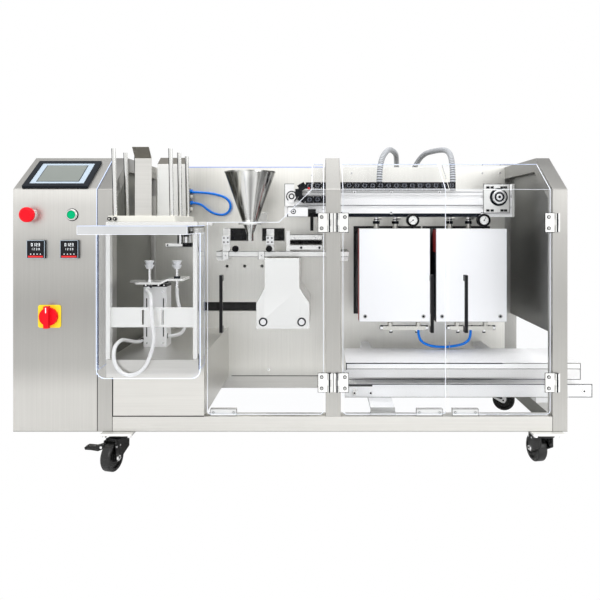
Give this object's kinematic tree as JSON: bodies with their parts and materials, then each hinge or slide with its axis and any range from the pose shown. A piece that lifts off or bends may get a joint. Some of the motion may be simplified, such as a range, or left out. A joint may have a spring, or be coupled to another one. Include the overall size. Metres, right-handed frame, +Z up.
{
  "type": "pouch vacuum packaging machine",
  "caption": "Horizontal machine on casters that picks, opens, fills, evacuates and seals ready-made pouches behind clear doors, with a control cabinet.",
  "frame": {"origin": "on the floor under the middle of the machine's outer box", "axes": "+X along the machine towards the outfeed, -Y towards the operator, +Z up"},
  "size_m": [1.603, 0.854, 0.8994],
  "materials": {
    "aluminium": "anodised",
    "black_metal": "black paint",
    "black_plastic": "matte",
    "black_rubber": "hard rubber",
    "blue_hose": "polyurethane tube",
    "brass": "nickel plated",
    "clear_acrylic": "clear sheet",
    "cream_plastic": "matte",
    "frame_steel": "brushed square tube",
    "green_plastic": "glossy",
    "grey_hose": "ribbed conduit",
    "panel_steel": "brushed sheet",
    "polished_steel": "bright",
    "red_plastic": "glossy",
    "red_rubber": "soft",
    "screen": "dark bezel",
    "white_hose": "soft hose",
    "white_metal": "satin paint",
    "white_plastic": "matte",
    "white_rubber": "soft"
  },
  "bodies": {
    "machine": {"base_rails": "frame_steel", "end_arches": "frame_steel", "middle_arch": "frame_steel", "side_panels": "panel_steel", "rear_wall": "panel_steel", "rear_covers": "panel_steel", "control_cabinet": "panel_steel", "touch_screen": "screen", "panel_fittings": "black_plastic", "infeed_deck": "panel_steel", "infeed_guard": "clear_acrylic", "magazine_frame": "panel_steel", "magazine_bars": "cream_plastic", "magazine_rods": "polished_steel", "lift_cylinder": "aluminium", "suction_arm": "panel_steel", "suction_cups": "white_rubber", "funnel": "polished_steel", "funnel_bracket": "panel_steel", "gripper_bar": "panel_steel", "gripper_blocks": "white_plastic", "pouch_support": "white_metal", "transfer_beam": "aluminium", "beam_brackets": "aluminium", "drag_chain": "black_plastic", "chamber_bodies": "panel_steel", "chamber_seals": "red_rubber", "vacuum_fittings": "brass", "pouch_tray": "polished_steel", "conveyor_frame": "white_metal", "conveyor_rollers": "polished_steel", "conveyor_belt": "white_rubber", "post_fittings": "panel_steel", "caster_plates": "polished_steel", "left_conduit": "grey_hose", "right_conduit": "grey_hose", "suction_hose": "white_hose", "cup_hose": "white_hose", "wall_tube": "blue_hose", "chamber_tube": "blue_hose"},
    "left_door": {"left_door_panel": "clear_acrylic", "left_door_fittings": "panel_steel"},
    "middle_door": {"middle_door_panel": "clear_acrylic", "middle_door_fittings": "panel_steel"},
    "right_door": {"right_door_panel": "clear_acrylic", "right_door_fittings": "panel_steel"},
    "left_cover": {"left_chamber_cover": "white_metal"},
    "right_cover": {"right_chamber_cover": "white_metal"},
    "stop_button": {"stop_button": "red_plastic"},
    "start_button": {"start_button": "green_plastic"},
    "switch_knob": {"switch_knob": "red_plastic"},
    "front_left_fork": {"front_left_fork": "black_metal"},
    "front_left_wheel": {"front_left_wheel": "black_rubber"},
    "front_right_fork": {"front_right_fork": "black_metal"},
    "front_right_wheel": {"front_right_wheel": "black_rubber"},
    "rear_left_fork": {"rear_left_fork": "black_metal"},
    "rear_left_wheel": {"rear_left_wheel": "black_rubber"},
    "rear_right_fork": {"rear_right_fork": "black_metal"},
    "rear_right_wheel": {"rear_right_wheel": "black_rubber"}
  },
  "joints": [
    {"name": "left_door_hinge", "type": "hinge", "parent": "machine", "child": "left_door", "pos_m": [0.0435, -0.198, 0.4], "axis": [0, 0, 1], "range_deg": [0, 90]},
    {"name": "middle_door_hinge", "type": "hinge", "parent": "machine", "child": "middle_door", "pos_m": [0.0635, -0.198, 0.4], "axis": [0, 0, -1], "range_deg": [0, 90]},
    {"name": "right_door_hinge", "type": "hinge", "parent": "machine", "child": "right_door", "pos_m": [0.6495, -0.198, 0.4], "axis": [0, 0, 1], "range_deg": [0, 100]},
    {"name": "left_cover_slide", "type": "slide", "parent": "machine", "child": "left_cover", "axis": [0, -1, 0], "range_m": [0, 0.05]},
    {"name": "right_cover_slide", "type": "slide", "parent": "machine", "child": "right_cover", "axis": [0, -1, 0], "range_m": [0, 0.05]},
    {"name": "stop_push", "type": "slide", "parent": "machine", "child": "stop_button", "axis": [0, 1, 0], "range_m": [0, 0.005], "stiffness_N_per_m": 900},
    {"name": "start_push", "type": "slide", "parent": "machine", "child": "start_button", "axis": [0, 1, 0], "range_m": [0, 0.003], "stiffness_N_per_m": 900},
    {"name": "switch_turn", "type": "hinge", "parent": "machine", "child": "switch_knob", "pos_m": [-0.7035, -0.196, 0.406], "axis": [0, -1, 0], "range_deg": [0, 90]},
    {"name": "front_left_swivel", "type": "hinge", "parent": "machine", "child": "front_left_fork", "pos_m": [-0.5205, -0.173, 0.088], "axis": [0, 0, 1], "continuous": true},
    {"name": "front_left_roll", "type": "hinge", "parent": "front_left_fork", "child": "front_left_wheel", "pos_m": [-0.53153, -0.21145, 0.0375], "axis": [-0.9613, 0.2756, 0], "continuous": true},
    {"name": "front_right_swivel", "type": "hinge", "parent": "machine", "child": "front_right_fork", "pos_m": [0.6235, -0.173, 0.088], "axis": [0, 0, 1], "continuous": true},
    {"name": "front_right_roll", "type": "hinge", "parent": "front_right_fork", "child": "front_right_wheel", "pos_m": [0.61518, -0.13387, 0.0375], "axis": [0.9781, 0.2079, 0], "continuous": true},
    {"name": "rear_left_swivel", "type": "hinge", "parent": "machine", "child": "rear_left_fork", "pos_m": [-0.5205, 0.385, 0.088], "axis": [0, 0, 1], "continuous": true},
    {"name": "rear_left_roll", "type": "hinge", "parent": "rear_left_fork", "child": "rear_left_wheel", "pos_m": [-0.55809, 0.37132, 0.0375], "axis": [-0.342, 0.9397, 0], "continuous": true},
    {"name": "rear_right_swivel", "type": "hinge", "parent": "machine", "child": "rear_right_fork", "pos_m": [0.6235, 0.385, 0.088], "axis": [0, 0, 1], "continuous": true},
    {"name": "rear_right_roll", "type": "hinge", "parent": "rear_right_fork", "child": "rear_right_wheel", "pos_m": [0.66109, 0.37132, 0.0375], "axis": [-0.342, -0.9397, 0], "continuous": true}
  ]
}
